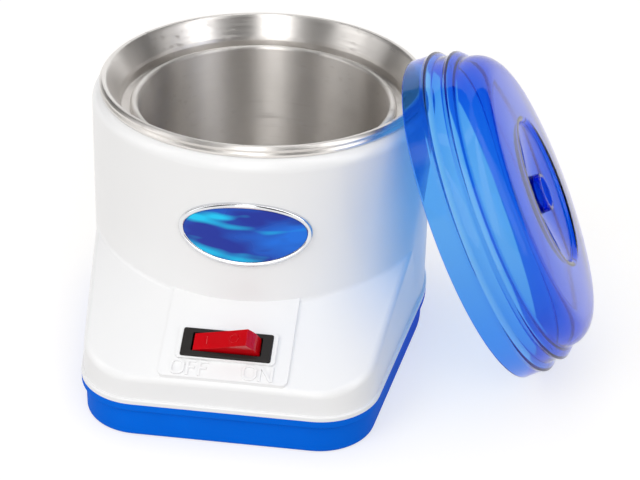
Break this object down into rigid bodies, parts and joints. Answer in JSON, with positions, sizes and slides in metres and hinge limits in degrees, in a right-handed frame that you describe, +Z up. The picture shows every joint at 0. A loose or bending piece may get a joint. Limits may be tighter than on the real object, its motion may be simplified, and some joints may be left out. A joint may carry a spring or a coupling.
{
  "type": "candle wax melter",
  "caption": "Electric wax melter: moulded housing on a tray, heated steel well with a lift-out bowl, rocker switch on a sloping panel, and a clear domed lid leaning on its rim.",
  "frame": {"origin": "on the axis of the well, on the tray's flat underside", "axes": "+Z up along the well's axis, -Y towards the switch panel, +X towards the leaning lid"},
  "size_m": [0.1933, 0.1632, 0.1144],
  "materials": {
    "white_shell": "satin moulding",
    "blue_tray": "satin moulding",
    "pad_rubber": "matte",
    "screw_steel": "zinc plated",
    "badge_chrome": "plated",
    "badge_blue": "domed, metallic",
    "gland_rubber": "matte",
    "collar_steel": "spun, polished",
    "well_steel": "spun",
    "bowl_steel": "drawn, brushed",
    "mica": "mica sheet",
    "ribbon_metal": "resistance alloy",
    "plate_steel": "zinc plated",
    "terminal_brass": "bare",
    "thermostat_case": "phenolic and steel",
    "fuse_case": "tinned",
    "clip_ceramic": "ceramic",
    "shield_aluminium": "bright",
    "black_bezel": "satin",
    "red_rocker": "clear red",
    "lamp_glass": "clear",
    "block_white": "moulded",
    "lead_insulation": "silicone sleeve",
    "lid_blue": "clear, moulded"
  },
  "bodies": {
    "base": {"housing_shell": "white_shell", "base_tray": "blue_tray", "foot_pads": "pad_rubber", "base_screws": "screw_steel", "badge_ring": "badge_chrome", "badge_inlay": "badge_blue", "cord_gland": "gland_rubber", "steel_collar": "collar_steel", "heating_well": "well_steel", "mica_top": "mica", "heating_ribbon": "ribbon_metal", "mica_bottom": "mica", "pressure_plate": "plate_steel", "centre_stud": "screw_steel", "clamp_nut": "screw_steel", "heater_terminals": "terminal_brass", "thermostat": "thermostat_case", "thermostat_screws": "screw_steel", "thermal_fuse": "fuse_case", "fuse_clip": "clip_ceramic", "heat_shield": "shield_aluminium", "shield_posts": "screw_steel", "well_brackets": "plate_steel", "bracket_screws": "screw_steel", "switch_housing": "black_bezel", "rocker_pin": "screw_steel", "neon_lamp": "lamp_glass", "switch_terminals": "terminal_brass", "terminal_block": "block_white", "switch_lead": "lead_insulation", "fuse_lead": "lead_insulation", "thermostat_lead": "lead_insulation", "heater_lead": "lead_insulation", "return_lead": "lead_insulation"},
    "bowl": {"wax_bowl": "bowl_steel"},
    "rocker": {"switch_rocker": "red_rocker"},
    "lid": {"lid_shell": "lid_blue", "lid_knob": "lid_blue"}
  },
  "joints": [
    {"name": "bowl_lift", "type": "slide", "parent": "base", "child": "bowl", "axis": [0, 0, 1], "range_m": [0, 0.085]},
    {"name": "rocker_tilt", "type": "hinge", "parent": "base", "child": "rocker", "pos_m": [0, -0.07926, 0.03124], "axis": [0, 0.8862, 0.4633], "range_deg": [0, 38]},
    {"name": "lid_lift", "type": "slide", "parent": "base", "child": "lid", "axis": [0, 0, 1], "range_m": [0, 0.15]}
  ]
}
